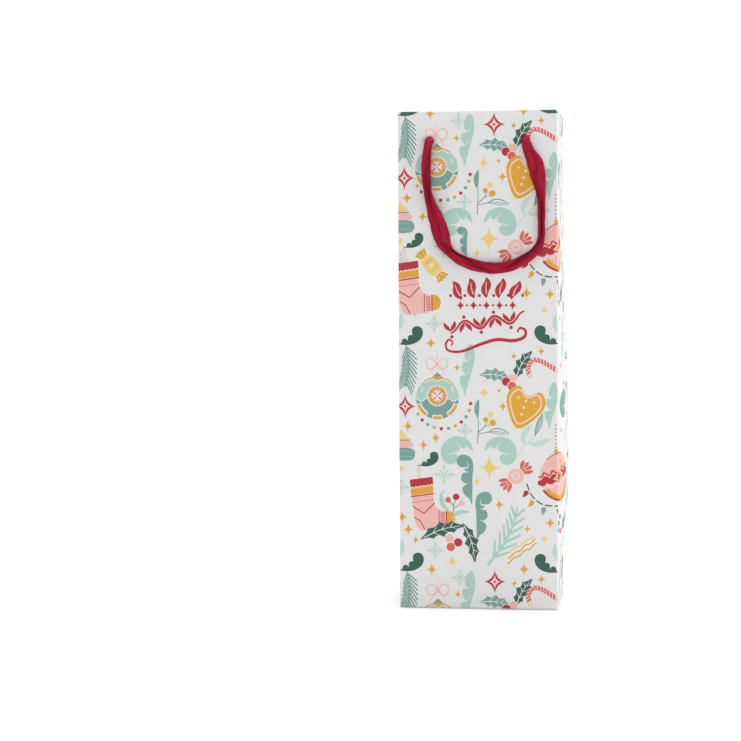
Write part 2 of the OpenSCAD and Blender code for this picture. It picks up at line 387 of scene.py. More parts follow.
def holly(length, width, ink="green"):
    half = length / 2
    spine = [(-half, 0), (-half * 0.3, length * 0.05), (half * 0.4, length * 0.03), (half, -length * 0.04)]
    shapes = [(ink, blade(spine, width, 4, 0.42, True, True, count=41))]
    shapes += pen("paper", 0.7, [(-half * 0.85, 0.2), (0, length * 0.05), (half * 0.8, -0.4)], tip=0.4)
    for x in (-0.4, 0.0, 0.4):
        root = (x * half, length * 0.045)
        tips = [(root[0] + length * 0.12, root[1] + s * width * 0.27) for s in (-1, 1)]
        shapes += pen("paper", 0.5, *([root, tip] for tip in tips), tip=0.4)
    return shapes


def berries(points, inks=("pink", "crimson", "coral"), r=3.1):
    shapes = []
    for (x, y), ink in zip(points, inks):
        shapes += disc("paper", x, y, r + 0.45, 20) + disc(ink, x, y, r, 20)
    return shapes


def fir(length, ink="teal", pairs=9, width=1.3, reach=0.34, lean=36, even=0.55):
    """A fir twig that points up from its foot at the origin. lean is its needles' angle to the stem."""
    spine = curve([(0, 0), (length * 0.07, length * 0.4), (length * 0.06, length * 0.75), (0, length)])
    line = evenly(spine, pairs + 2)
    along = tangents(line)
    shapes = [(ink, stroke(line, width, 0.6, 3))]
    for k in range(1, pairs + 1):
        size = length * reach * (1 - even * abs(k / pairs - 0.35))
        for s in (-1, 1):
            c, sn = math.cos(math.radians(lean)), s * math.sin(math.radians(lean))
            way = np.array([along[k] @ (c, -sn), along[k] @ (sn, c)])
            shapes.append((ink, stroke([line[k], line[k] + way * size], width, 0.75, 2)))
    return shapes


def candy_cane():
    line = evenly(curve([(-7.4, -6.6), (-9.2, -1), (-7.0, 4.2), (-2.2, 5.2), (4, 3), (11.5, -0.8)]), 40)
    shapes = [("coral", stroke(line, 3.3, steps=1)), ("blush", stroke(line, 2.8, steps=1))]
    along = tangents(line)
    for k in range(1, 36, 3):
        side = np.array([-along[k][1], along[k][0]]) * 1.5
        shapes.append(("coral", [line[k] + side, line[k + 2] + side, line[k + 4] - side, line[k + 2] - side]))
    return shapes


def cookie():
    """A heart-shaped biscuit with an iced line and five dots."""
    left = [(0, -13), (-9, -3), (-11, 5), (-6.4, 10.4)]
    heart = curve(left + [(0, 6.4)] + [(-x, y) for x, y in left[:0:-1]], 5, True)
    line = np.vstack([heart * 0.8 + (0, 0.2), heart[:1] * 0.8 + (0, 0.2)])
    shapes = [("gold", heart), ("blush", stroke(line, 0.8, steps=1))]
    shapes += dots([(0, 3.4), (0, -0.6), (0, -4.6)], ["blush"], 0.8)
    return shapes + dots([(-4.6, 4), (4.6, 4)], ["blush"], 0.7)


def berry_twig():
    """Three gold berries beside a slim leaf on a long stalk."""
    return [
        *pen("teal", 0.8, [(-3, -16), (-2.6, -8), (-2.4, -2), (-2.8, 6)], tip=0.6),
        ("teal", blade([(-2.6, 2), (-3.6, 6), (-3.4, 11), (-2.2, 16)], 3.6)),
        *pen("teal", 0.7, [(-2.4, -8), (2, -4), (4, 0)]), *pen("teal", 0.6, [(2, -4), (7, -2)]),
        *disc("lemon", 6.2, 4.6, 2, 14), *disc("gold", 2.8, 1, 1.9, 14), *disc("gold", 7.8, -1.2, 2.4, 20),
    ]


def slim_leaf():
    return [("frost", blade([(2.8, -7.4), (0.4, -2.6), (-0.4, 2), (-0.2, 6.8)], 4.2))]


def lined_leaf(length, width):
    """A leaf drawn as an outline, with a midrib that runs on as its stalk."""
    spine = [(0, 0), (length * 0.35, length * 0.08), (length * 0.7, length * 0.06), (length, 0)]
    midrib = [(-length * 0.4, -length * 0.12), (0, 0), (length * 0.45, length * 0.05), (length * 0.8, 0.4)]
    hollow = blade(np.multiply(spine, 0.88) + (length * 0.06, 0), width - 1.5)
    return [("teal", blade(spine, width)), ("paper", hollow), *pen("teal", 0.6, midrib)]


def leaf_sprig():
    return [
        *pen("frost", 0.7, [(-8, -13), (-4, -5), (2, 3), (5, 11)], tip=0.6),
        ("frost", blade([(-4, -5), (-5.6, 1), (-3.6, 7), (-0.6, 11)], 4.2)),
        *pen("paper", 0.5, [(-4.2, -2), (-3.6, 5)]),
        ("frost", blade([(-2.6, -3), (3, -2.8), (9, -0.6), (14, 2.4)], 4.2)),
        *pen("paper", 0.5, [(1, -2.2), (9, 0)]),
        ("teal", blade([(2, 3), (3.4, 8), (4.6, 14), (5.6, 20)], 4.2)),
        ("mint", blade([(3, 5), (4, 9), (5, 14), (5.4, 18)], 2.8)),
        *pen("teal", 0.6, [(2.4, 3), (4, 9), (5.2, 16)], tip=0.6),
    ]


def fan(size):
    """A sweet's twisted paper end: petals that spread from the origin, with folds between them."""
    spread = 26
    petal = blade([(0, 0), (size * 0.45, 0), (size * 0.85, 0.1), (size, 0)], size * 0.4, count=14)
    petals = turned([("coral", petal)], [k * spread for k in (-1.5, -0.5, 0.5, 1.5)])
    fold = [("paper", stroke([(size * 0.3, 0), (size * 0.95, 0)], 0.45))]
    return petals + disc("coral", size * 0.22, 0, size * 0.22, 10) + turned(fold, (-spread, 0, spread))


def sweet(r=5.6):
    shapes = put(fan(r * 1.6), r * 0.9, 0) + put(fan(r * 1.6), -r * 0.9, 0, flip=True)
    shapes += disc("paper", 0, 0, r + 0.6, 24) + disc("pink", 0, 0, r, 24)
    return turned(shapes + disc("blush", 0, 0, r * 0.55, 16) + disc("pink", 0, 0, r * 0.3, 12), [40])


def gold_sweet():
    body = curve([(-6, 4.6), (6, 4.6), (6.8, 0), (6, -4.6), (-6, -4.6), (-6.8, 0)], 4, True)
    side = [(0, 1.6), (7.8, 5), (7, 2.6), (8.2, 1.4), (7.2, 0)]
    end = [("gold", side + [(x, -y) for x, y in side[-2::-1]])]
    end += pen("lemon", 0.5, *([(2, y), (6, 2.6 * y)] for y in (-0.8, 0.8)))
    shapes = put(end, 5.6, 0) + put(end, -5.6, 0, flip=True) + [("paper", body * 1.1), ("lemon", body)]
    shapes += pen("gold", 0.5, *([(x, 3), (x, -3)] for x in (-3.6, 3.6)))
    return turned(shapes + [("paper", star(2.6))], [-48])


def stocking():
    leg = [(-7.8, 17.4), (0, 18.2), (7.8, 19), (8, 8), (8.6, 0), (12, -4), (18, -6.4), (21.8, -9.4),
           (20.6, -15), (14, -17.6), (4, -18.8), (-3.4, -18), (-6.2, -13), (-7, -4), (-7.6, 8)]
    toe = curve([(17.4, -5.8), (21.6, -6.6), (23.2, -11), (21.2, -15.4), (17.2, -15.6)], 4, True)
    scallops = [(x, 12.4 + 1.4 * abs(math.sin(x * 1.1)) + x * 0.1) for x in np.linspace(8.2, -8.2, 22)]
    hem = [(x, 8.0 + x * 0.1) for x in (8.2, -8.2)]
    shapes = [
        *pen("pink", 2.2, [(-1.2, 17), (-1.6, 29)]), *pen("paper", 0.9, [(-1.3, 17), (-1.6, 28)]),
        ("pink", curve(leg, 4, True)), ("gold", toe),
        ("crimson", np.vstack([[(-8.6, 17), (-8.4, 18.6), (8.2, 20), (8.5, 17)], scallops])),
        ("gold", np.vstack([scallops[::-1], hem])), ("paper", stroke(scallops, 0.7, steps=1)),
    ]
    shapes += pen("crimson", 0.9, [(-8.2, 6.2), (8.3, 7.8)])
    shapes += pen("crimson", 0.8, [(-7.4, -1), (0.6, -6.4)], [(0.6, -6.4), (8.4, 0.8)])
    shapes += pen("crimson", 0.7, [(-6.6, -9), (-2.6, -11.6)], [(-2.6, -11.6), (0.4, -18)])
    shapes += pen("crimson", 0.8, [(17, -5.4), (16.6, -16.8)])
    shapes += pen("crimson", 0.6, [(11.6, -4.6), (10.8, -17.4)])
    for y in -6.4 - 1.8 * np.arange(6):
        shapes += pen("crimson", 0.6, [(12.6, y), (14, y - 1)], [(14, y - 1), (15.6, y + 0.2)])
    return shapes + dots([(x, 2.6 + x * 0.1) for x in range(-7, 8, 2)], ["crimson"], 0.5)


def fairy_lights():
    line = evenly(curve([(-11, 8), (-8, 1), (-2, -4.4), (5, -5.8), (12, -5.6)]), 30)
    shapes = [("green", stroke(line[k:k + 5], 0.9, steps=1)) for k in (0, 6, 12, 18, 24)]
    bulb = blade([(1.4, 0), (3.8, 0.3), (6.8, 0)], 4.4, blunt=0.5, count=14)
    for k, ink, turn in ((3, "crimson", 235), (10, "gold", 235), (17, "teal", 262), (26, "crimson", 275)):
        shapes += put([(ink, bulb)], *line[k], turn)
    return shapes


def waves():
    shapes = []
    for k, ink in enumerate(("gold", "gold", "lemon")):
        x = np.linspace(-9, 9 - k, 20)
        line = np.column_stack([x + 0.5 * k, 3.5 * k + x * 0.7 + 0.6 * np.sin(x * 0.9)])
        shapes.append((ink, stroke(line, 1.0, 0.8, 2)))
    return put(shapes, 0, -3.4)


def berry_sprig():
    return [
        *pen("teal", 0.7, [(-1, -9), (-1, -3), (-4, 1)], [(-1, -3), (1, 3)], [(-1, -5), (4.6, -0.6)]),
        ("mint", blade([(-3, -8), (-8.6, -2), (-9.6, 5), (-7, 9)], 3.2)),
        ("mint", blade([(-2, -13), (1, -8.6), (6, -7), (12, -7.4)], 2.8)),
        *disc("coral", -4.8, 1.6, 2.1, 14), *disc("crimson", 1, 3.8, 2.4, 14),
        *disc("pink", 5.2, -0.8, 2.2, 14),
    ]


def ornament():
    """Rows of plain ornament, about 62 mm square: leaves, stars, a vine and a swash."""
    leaf = [("crimson", blade([(0, -7.4), (-1, -2), (0.6, 3), (0, 7.8)], 6.4, count=22))]
    leaf += pen("paper", 0.7, [(0, -4), (-0.4, 0), (0.1, 4.4)], tip=0.5)
    shapes = [s for k in range(-2, 3) for s in put(leaf, k * 10.4, 16.2 - 0.5 * k * k, -13 * k)]
    shapes += dots([(k * 10.4 + 5.2, 10.6) for k in range(-3, 3)], ["crimson"], 1.15)
    for k in range(-2, 3):
        shapes += put([("crimson", star(3.0, 3.8, 0.6, 5))], k * 9.4, 3.6)
    shapes += dots([(k * 9.4 + 4.7, 3.6) for k in range(-2, 2)], ["crimson"], 0.9)
    bends = 0.29                        # of the vine, in radians for each millimetre
    wave = [(x, 3.6 * math.sin(x * bends)) for x in np.linspace(-27, 27, 40)]
    vine = [("crimson", stroke(wave, 1.9, 1, 2, 0.3))]
    for k in range(-3, 2):
        x = (k + 0.5) * PI / bends
        up = 1 if k % 2 == 0 else -1
        for lean in (-1, 1):
            leaflet = [(x + lean * out, up * y) for out, y in ((0, 2.6), (1.6, 0.2), (3.4, -2.2), (4, -4.8))]
            vine.append(("crimson", blade(leaflet, 2.9, count=18)))
        vine += disc("crimson", x, up * 6.4, 1.3, 14)
    flourish = [(-29, -1), (-27.4, -5.6), (-18, -7.2), (-4, -3.6), (8, -1.4), (20, -3.4), (28, -1.6),
                (29.4, 3), (25.8, 5.2), (23.6, 2.6)]
    swash = [("crimson", stroke(flourish, 2.5, 1, 5, 0.5))]
    swash += pen("crimson", 1.7, [(-29, -1), (-26.4, 2.2), (-23.6, 0.2), (-24.8, -2.2)], tip=0.6)
    return shapes + put(vine, 0.6, -8.6, 9) + put(swash, -1, -20.6, 6)


# ---------- the wallpaper ----------
# Sheet coordinates: u runs round the bag from the middle of the front panel, and v up from the floor.

REPEAT_U = 2 * (W + D)                  # the front and one gusset, then again for the back and the other
REPEAT_V = 165.0
ORNAMENT = (6.4, 217.0)

# Each is a motif and its place, and then its turn, its size and whether it is flipped, where these are given.
SMALL_PLUME = 34 / 38
FRONT_MOTIFS = [
    (bauble(15.6), -29.4, 153.6), (bow(), -29.6, 178, 0, 0.76), (crimson_star(), -52.9, 147.4),
    (crimson_star(), 12.0, 20.2),
    (dots(arc(-25.6, 151, 20.4, 19.8, 208, 356, 11), ["gold", "crimson", "teal"]), 0, 0),
    (gift(), -56, 117.4), (comma(), -18.6, 114.4), (comma(), 19.6, 114.4, 0, 1, True),
    (tall_scroll(), -9.6, 94.6),
    (tall_scroll(), 4.2, 67.8, 0, 1, True), (plume(), -7.5, 173.8), (plume(), 53, 148, 0, SMALL_PLUME),
    (scroll_leaf(), -36.4, 109, 0, 0.66), (scroll_leaf(), -49.6, 33.6, 0, 0.84),
    (scroll_leaf(), 50.6, 34, 0, 0.84, True), (berry_sprig(), -17, 78), (holly(34, 12), -26, 56.4, 20),
    (holly(30, 11), -6.2, 48.6, -71), (berries([(-20.7, 51.4), (-14.6, 48.6), (-20, 45.2)]), 0, 0),
    (fir(31, lean=144, even=0.3, pairs=10), -52.6, 162),
    (fir(46, "mint", 6, 2.1, 0.28, 34, 0.5), 7.4, 33, -27),
    (holly(22, 10.6, "teal"), 12.2, 169.6, -4), (holly(24, 10.5), 32.6, 177.6, 62),
    (berries([(25.2, 168), (20.4, 165.6), (24.6, 162.4)]), 0, 0), (candy_cane(), 45.4, 175.6, -6),
    (cookie(), 33.4, 147.6, -18, 1.28), (berry_twig(), 2.8, 137), (lined_leaf(16, 4.6), 7, 129, -4),
    (leaf_sprig(), 38.4, 124, -8), (sweet(), 27.4, 97.2), (pink_bauble(), 61.4, 97, 14),
    (fairy_lights(), 47.8, 82.4, 0, 1.14), (waves(), 31.6, 45, 0, 1.12), (slim_leaf(), 56, 42.4),
    (slim_leaf(), -56, 43.6, 0, 1, True),
]
FRONT_STARS = [
    (-51, 133, 5), (-30.7, 124.5, 4.6), (-39.7, 119.5, 4.6), (-51, 57.5, 5), (-45.6, 50, 3.6),
    (-55.6, 66.6, 5.4), (-34, 28.4, 5.2), (-15, 10.6, 3.6), (15.4, 76.4, 4.6), (35.6, 59, 3.6), (52, 63.4, 5),
    (33.2, 29.6, 5.2), (45.6, 22.4, 4), (26, 19, 3.2), (15.2, 159, 2.6), (18, 147.6, 4.4),
]
FRONT_SPARKLES = [
    (4.4, 157.4, 6), (8.2, 103.4, 11.4), (47.6, 52, 4.4), (-18.8, 34.4, 5.4), (-0.6, 93, 4.4),
    (-56, 102, 4.6),
]
FRONT_FLAKES = [(-9.4, 130, 5.6), (-24.6, 98, 7.4), (-31.4, 42.4, 6), (-13.6, 22.8, 6), (-56, 88.4, 6)]
GUSSET_MOTIFS = [
    (plume(), 74, 30, 0, SMALL_PLUME), (fir(32, "teal"), 88, 8, -20), (scroll_leaf(), 122, 22),
    (tall_scroll("mint"), 137, 54, 0, 1, True), (sweet(5.2), 104, 48), (snowflake(6.4), 120, 44),
    (holly(26, 12), 78, 64, 30), (berries([(91, 66), (94.6, 60.6), (88.6, 59.6)], r=3.6), 0, 0),
    (comma("mint"), 112, 76, 0, 1, True), (waves(), 128, 84), (gold_sweet(), 91, 84),
    (tall_scroll("teal"), 96, 104), (crimson_star(), 119, 108), (plume(), 136, 118, 0, SMALL_PLUME, True),
    (leaf_sprig(), 80, 124, 8), (bow("coral"), 105, 134), (fir(32, "mint", 7, 2), 128, 134, 24),
    (berry_sprig(), 88, 152), (candy_cane(), 112, 156, 20), (comma("teal"), 72, 148),
    (berries([(60.2, 58.4), (61.4, 63), (63.4, 67.6), (64.4, 57)], ["teal"] * 3 + ["coral"], 2), 0, 0),
    (dots([(108, 20), (104, 17), (99, 16), (94.6, 17.4)], ["crimson", "gold", "teal"]), 8, 12),
]
GUSSET_STARS = [
    (66, 12, 4), (106, 8, 4.4), (140, 8, 5), (96, 36, 4.6), (140, 34, 3.6), (66, 46, 3.8), (118, 60, 4.2),
    (99, 76, 3.4), (142, 74, 4.6), (66, 80, 4), (112, 94, 4.4), (84, 106, 3.6), (64, 108, 4.6), (140, 96, 4),
    (122, 122, 3.6), (92, 126, 4), (66, 130, 3.4), (142, 148, 4.4), (100, 164, 3.6), (126, 158, 3.4),
    (74, 164, 5),
]
GUSSET_SPARKLES = [(112, 34, 5.4), (86, 44, 4), (130, 70, 4.4), (72, 108, 5), (108, 120, 4.4), (134, 160, 5)]
# The ornament takes the place of the tile's middle in the first of these, and other motifs hang beside it.
# Each clearing is left, right, low and high, and a motif whose middle is in it is left out.
CLEARINGS = [(-31, 37, 184, 250), (-13, -5, 252, 267), (-42, -38.5, 239, 243), (-38.5, -34, 271, 277)]
BESIDE_ORNAMENT = [
    (stocking(), -50.4, 232.6, 3), (gold_sweet(), -33.4, 249.4), (gold_star(5.4), 35.2, 229.4),
    (tall_scroll(), -11.1, 266, 0, 0.63), (scroll_leaf(), -46.9, 267.4, 0, 0.66),
]
STOCKING_AT = (-40.3, 75.8)


def tile():
    """Every motif of one repeat, each as its shapes and its middle."""
    spots = FRONT_MOTIFS + GUSSET_MOTIFS
    spots += [(gold_star(r), x, y) for x, y, r in FRONT_STARS + GUSSET_STARS]
    spots += [(sparkle(r), x, y) for x, y, r in FRONT_SPARKLES + GUSSET_SPARKLES]
    spots += [(snowflake(r), x, y) for x, y, r in FRONT_FLAKES]
    placed = [put(*spot) for spot in spots]
    return [(shapes, sum(outline.mean(0) for _, outline in shapes) / len(shapes)) for shapes in placed]


def wallpaper():
    """The whole sheet's print, as (ink number, outline) in the order it is painted."""
    shapes = []
    motifs = [(put(stocking(), *STOCKING_AT, 3), np.array(STOCKING_AT))] + tile()
    for across in (-1, 0, 1):
        for up in (-1, 0, 1, 2):
            shift = np.array([across * REPEAT_U, up * REPEAT_V])
            for motif, middle in motifs:
                x, y = middle[0], middle[1] + shift[1]
                if not any(left < x < right and low < y < high for left, right, low, high in CLEARINGS):
                    shapes += [(ink, outline + shift) for ink, outline in motif]
        for motif, x, *rest in BESIDE_ORNAMENT + [(ornament(), *ORNAMENT)]:
            shapes += put(motif, x + across * REPEAT_U, *rest)
    return [(INK_NAMES.index(ink), outline) for ink, outline in shapes]


PRINT = wallpaper()


# ---------- sheets ----------

def inside(points, outline):
    """Which points lie inside the outline, by winding number."""
    x, y = points[:, 0, None], points[:, 1, None]
    x0, y0 = np.asarray(outline, float).T
    x1, y1 = np.roll(x0, -1), np.roll(y0, -1)
    left = (x1 - x0) * (y - y0) - (x - x0) * (y1 - y0)
    turns = ((y0 <= y) & (y1 > y) & (left > 0)).sum(1) - ((y0 > y) & (y1 <= y) & (left < 0)).sum(1)
    return turns != 0


def cut(outline, holes=(), lines=()):
    """Cuts a stretch out of the printed sheet. Returns its points, its triangles and each triangle's ink.
    Every outline of the print is an edge of the mesh, so the print is sharp at any distance."""
    outline = np.asarray(outline, float)
    low, high = outline.min(0), outline.max(0)
    points, edges = [], []
    shapes = [(ink, o) for ink, o in PRINT if (o.min(0) < high).all() and (o.max(0) > low).all()]
    for line in [outline, *holes, *lines, *(shape for _, shape in shapes)]:
        first, last = len(points), len(points) + len(line) - 1
        points.extend(map(tuple, line))
        edges.extend((k, k + 1) for k in range(first, last))
        if last > first + 1:            # all but the straight lines are closed
            edges.append((last, first))
    columns, rows = (np.arange(low[k] + 1, high[k], GRID) for k in (0, 1))
    points.extend(map(tuple, np.stack(np.meshgrid(columns, rows), -1).reshape(-1, 2)))
    made = delaunay_2d_cdt([Vector(p) for p in points], edges, [], 0, 1e-4)
    at = np.array([tuple(p) for p in made[0]])
    triangles = np.array(made[2])
    middle = at[triangles].mean(1)
    keep = inside(middle, outline)
    for hole in holes:
        keep &= ~inside(middle, hole)
    triangles, middle = triangles[keep], middle[keep]
    a, b, c = (at[triangles[:, k]] for k in range(3))
    area = (b - a)[:, 0] * (c - a)[:, 1] - (b - a)[:, 1] * (c - a)[:, 0]
    triangles[area < 0] = triangles[area < 0][:, ::-1]
    ink = np.zeros(len(triangles), int)
    for number, shape in shapes:
        near = ((middle > shape.min(0)) & (middle < shape.max(0))).all(1).nonzero()[0]
        ink[near[inside(middle[near], shape)]] = number
    used, triangles = np.unique(triangles, return_inverse=True)
    return at[used], triangles.reshape(-1, 3), ink


def mesh_from(name, vertices, faces, kinds, materials, colours=None, smooth_faces=None):
    """A mesh object from arrays in millimetres. kinds gives each face's material."""
    mesh = bpy.data.meshes.new(name)
    mesh.from_pydata((np.asarray(vertices) * MM).tolist(), [], [list(map(int, f)) for f in faces])
    mesh.polygons.foreach_set("material_index", np.asarray(kinds, np.int32))
    flags = np.ones(len(faces), bool) if smooth_faces is None else smooth_faces
    mesh.polygons.foreach_set("use_smooth", flags)
    if colours is not None:
        layer = mesh.color_attributes.new("ink", "FLOAT_COLOR", "CORNER")
        opaque = np.column_stack([colours, np.ones(len(colours))])
        corners = np.repeat(opaque, [len(f) for f in faces], axis=0)
        layer.data.foreach_set("color", corners.astype(np.float32).ravel())
    for material in materials:
        mesh.materials.append(material)
    mesh.update()
    piece = bpy.data.objects.new(name, mesh)
    bpy.context.scene.collection.objects.link(piece)
    return piece


def sheet(name, body, place, outline, replaced, holes=(), lines=()):
    """A stretch of the printed sheet. place(u, v, depth) gives the point that lies depth under the print."""
    at, triangles, ink = cut(outline, holes, lines)
    u, v = at.T
    printed = place(u, v, np.zeros(len(u)))
    plain = place(u, v, np.full(len(u), PAPER))
    count = len(at)
    edges = np.vstack([triangles[:, (0, 1)], triangles[:, (1, 2)], triangles[:, (2, 0)]])
    keys = np.sort(edges, axis=1) @ np.array([count, 1])
    _, first, uses = np.unique(keys, return_index=True, return_counts=True)
    rim = edges[first[uses == 1]]
    sides = np.column_stack([rim[:, 1], rim[:, 0], rim[:, 0] + count, rim[:, 1] + count])
    faces = triangles.tolist() + (triangles[:, ::-1] + count).tolist() + sides.tolist()
    unprinted = len(triangles) + len(sides)
    kinds = np.r_[np.zeros(len(triangles)), np.ones(unprinted)]
    colours = np.vstack([ALBEDO[ink], np.tile(ALBEDO[0], (unprinted, 1))])
    flags = np.r_[np.ones(2 * len(triangles), bool), np.zeros(len(sides), bool)]
    piece = mesh_from(name, np.vstack([printed, plain]), faces, kinds, (PRINTED, PLAIN), colours, flags)
    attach(piece, body)
    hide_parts(*replaced)
    return piece


# ---------- materials ----------

def new_material(name, colour, roughness, specular=0.3, **sockets):
    """A Principled material. Values that are the same all over are set on the shader's own sockets."""
    material = bpy.data.materials.new(name)
    material.use_nodes = True
    shader = material.node_tree.nodes["Principled BSDF"]
    shader.inputs["Base Color"].default_value = (*colour, 1)
    shader.inputs["Roughness"].default_value = roughness
    shader.inputs["Specular IOR Level"].default_value = specular
    for socket, value in sockets.items():
        shader.inputs[socket.replace("_", " ")].default_value = value
    return material, shader


def node(material, kind, inputs=(), **settings):
    """A node of that kind, with its settings, and with its inputs set to values or linked to sockets."""
    made = material.node_tree.nodes.new("ShaderNode" + kind)
    for key, value in settings.items():
        setattr(made, key, value)
    for key, value in dict(inputs).items():
        if isinstance(value, bpy.types.NodeSocket):
            material.node_tree.links.new(value, made.inputs[key])
        else:
            made.inputs[key].default_value = value
    return made


def tint(material, colour):
    base = node(material, "RGB")
    base.outputs[0].default_value = (*colour, 1)
    return base.outputs[0]


def noise(material, scale, detail=3.0, stretch=None):
    where = node(material, "TexCoord").outputs["Object"]
    if stretch:
        where = node(material, "Mapping", {"Vector": where, "Scale": stretch}).outputs["Vector"]
    return node(material, "TexNoise", {"Vector": where, "Scale": scale, "Detail": detail}).outputs["Fac"]


def spread(material, fac, low, high):
    """A number between low and high from a noise, whose values lie mostly between 0.3 and 0.7."""
    ends = {"Value": fac, "From Min": 0.3, "From Max": 0.7, "To Min": low, "To Max": high}
    return node(material, "MapRange", ends).outputs["Result"]


def times(material, colour, share):
    """The colour times the share."""
    grey = node(material, "CombineXYZ", {k: share for k in "XYZ"}).outputs["Vector"]
    return node(material, "VectorMath", {0: colour, 1: grey}, operation="MULTIPLY").outputs["Vector"]


def varied(material, shader, colour, fac, low, high):
    """The colour, made darker and lighter between two shares by fac."""
    made = times(material, colour, spread(material, fac, low, high))
    material.node_tree.links.new(made, shader.inputs["Base Color"])


def bumped(material, shader, heights, distance):
    """Bump from the sum of the heights."""
    total = heights[0]
    for height in heights[1:]:
        total = node(material, "Math", {0: total, 1: height}, operation="ADD").outputs["Value"]
    made = node(material, "Bump", {"Height": total, "Distance": distance, "Strength": 1.0})
    material.node_tree.links.new(made.outputs["Normal"], shader.inputs["Normal"])


def rough(material, shader, fac, low, high):
    material.node_tree.links.new(spread(material, fac, low, high), shader.inputs["Roughness"])


def printed_paper():
    """Smooth white paper with matt inks, and the fine grain of the fibres through both."""
    material, shader = new_material("printed_paper", ALBEDO[0], 0.55)
    ink = node(material, "Attribute", attribute_name="ink").outputs["Color"]
    fibres = noise(material, 1400, 4.0)
    varied(material, shader, ink, fibres, 0.965, 1.02)
    rough(material, shader, noise(material, 500), 0.5, 0.62)
    bumped(material, shader, [fibres, noise(material, 60, 2.0)], 0.00005)
    return material


def plain_paper():
    """The sheet's unprinted side."""
    white = (0.8, 0.79, 0.775)
    material, shader = new_material("plain_paper", white, 0.8, 0.2)
    fibres = noise(material, 900, 5.0)
    varied(material, shader, tint(material, white), fibres, 0.95, 1.02)
    bumped(material, shader, [fibres], 0.00006)
    return material


def grey_card():
    """Recycled grey board, with flecks and short fibres."""
    grey = (0.47, 0.44, 0.38)
    material, shader = new_material("grey_card", grey, 0.88, 0.15)
    fibres = noise(material, 420, 6.0, (1, 2.6, 1))
    varied(material, shader, tint(material, grey), fibres, 0.78, 1.16)
    bumped(material, shader, [fibres], 0.00012)
    return material


RIBBON_RED = (0.40, 0.010, 0.036)


def cotton_ribbon():
    """Soft crimson tape: a fine twill along it, a slight nap, and painted shade that darkens its colour in
    the creases.
    """
    material, shader = new_material(
        "cotton_ribbon", RIBBON_RED, 0.85, 0.12,
        Sheen_Weight=0.12, Sheen_Roughness=0.4, Sheen_Tint=(1.0, 0.3, 0.4, 1))
    weave_and_shade = node(material, "Attribute", attribute_name="weave_and_shade").outputs["Vector"]
    wave = {"Vector": weave_and_shade, "Distortion": 0.6, "Detail": 1.0, "Detail Scale": 2.0}
    twill = [node(material, "TexWave", {**wave, "Scale": scale}, bands_direction=way).outputs["Fac"]
             for way, scale in (("DIAGONAL", 0.46), ("X", 0.62))]
    nap = noise(material, 2600, 4.0)
    shade = node(material, "Math", {0: twill[0], 1: nap}, operation="ADD").outputs["Value"]
    half = node(material, "Math", {0: shade, 1: 0.5}, operation="MULTIPLY").outputs["Value"]
    # Painted shade: the attribute's third value darkens the red, most in the creases and grooves, where shade
    # would fall.
    crease_shade = node(material, "SeparateXYZ", {"Vector": weave_and_shade}).outputs["Z"]
    shade = node(material, "MapRange", {"Value": crease_shade, "From Max": 0.9, "To Min": 1.08, "To Max": 0.42})
    dye_with_painted_shade = times(material, tint(material, RIBBON_RED), shade.outputs["Result"])
    varied(material, shader, dye_with_painted_shade, half, 0.78, 1.16)
    bumped(material, shader, [*twill, nap], 0.00014)
    return material


PRINTED = printed_paper()
PLAIN = plain_paper()
CARD = grey_card()
COTTON = cotton_ribbon()


# ---------- where each stretch of the sheet goes ----------

def crown(x, v, low):
    """How far a panel stands proud of flat: bowed between its edges, flat at the hem and below low."""
    across = np.clip(1 - (x / (W - 3)) ** 2, 0, 1) ** 1.3
    window = smooth(v, low, low + 70) * (1 - smooth(v, 235, HEM_Z - 2))
    ripple = 0.14 * np.sin(x * 0.055 + v * 0.021 + 1) + 0.1 * np.sin(v * 0.045 - x * 0.03)
    return across * window * (1.0 + ripple)


def round_corner(distance, r, depth):
    """Plan of a corner. distance runs along the face from its middle, then round the corner."""
    turn = np.clip((distance - (W - r)) / (2 * r), 0, 1) * PI / 2
    on_face, past = distance < W - r, distance > W + r
    x = np.where(on_face, distance, np.where(past, W - depth, W - r + (r - depth) * np.sin(turn)))
    inward = np.where(on_face, depth, np.where(past, distance - W, r - (r - depth) * np.cos(turn)))
    return x, inward


def over_rim(v, depth, wall):
    """The sheet turns in over the mouth. Returns each point's height, and how far in it lies."""
    r = wall / 2
    start = H - r
    turn = np.clip((v - start) / r, 0, PI)
    rise = (r - depth) * np.sin(turn)
    z = np.where(v < start, v, start + rise - np.maximum(v - start - PI * r, 0))
    return z, r - (r - depth) * np.cos(turn)


WRAP_END = W + (D - CORNER_Y) - SLIT


def place_panel(side, low):
    """The front, side = -1, or the back, side = 1, with its wraps round both corners and its hem."""
    middle = 0 if side < 0 else REPEAT_U

    def place(u, v, depth):
        s = u - middle
        r = CORNER_R + 0.7 * (1 - smooth(v, 0, 16)) * (side < 0)
        z, inset = over_rim(v, depth, WALL)
        reach = np.abs(s)
        tight = np.clip((reach - W - r) / (WRAP_END - W - r), 0, 1)
        x, inward = round_corner(reach - np.minimum(inset, PAPER) * tight, r, inset)
        tuck = 0.5 * np.clip(1 - (v - BODY_Z) / 2.5, 0, 1) ** 2 * (side < 0)
        inward = inward + tuck * (reach < W) - crown(reach, v, low) * (v < H - WALL)
        x = np.where(s < 0, -x, x) * (-side)
        return np.column_stack([x, side * (D - inward), z])

    return place


def gusset_bow(y, v, right):
    """How far a gusset bows out: most in the middle of each half, and not at all at its foot and hem."""
    t = np.clip(np.abs(y) / CORNER_Y, 0, 1)
    amount = (BOW_RIGHT if right else BOW_LEFT) * smooth(v - CROSS_Z + np.abs(y), 2, 60)
    amount = amount * (1 - smooth(v, 120, HEM_Z - 2) ** 0.8)
    return amount * (0.22 * (1 - t) + 0.85 * np.sin(PI * t)) * (t < 1)


def gusset_u(y, right):
    """How far round the sheet a gusset's y lies."""
    return W + D + y if right else -(W + D) - y


def gusset_y(u, right):
    return u - (W + D) if right else -(W + D) - u


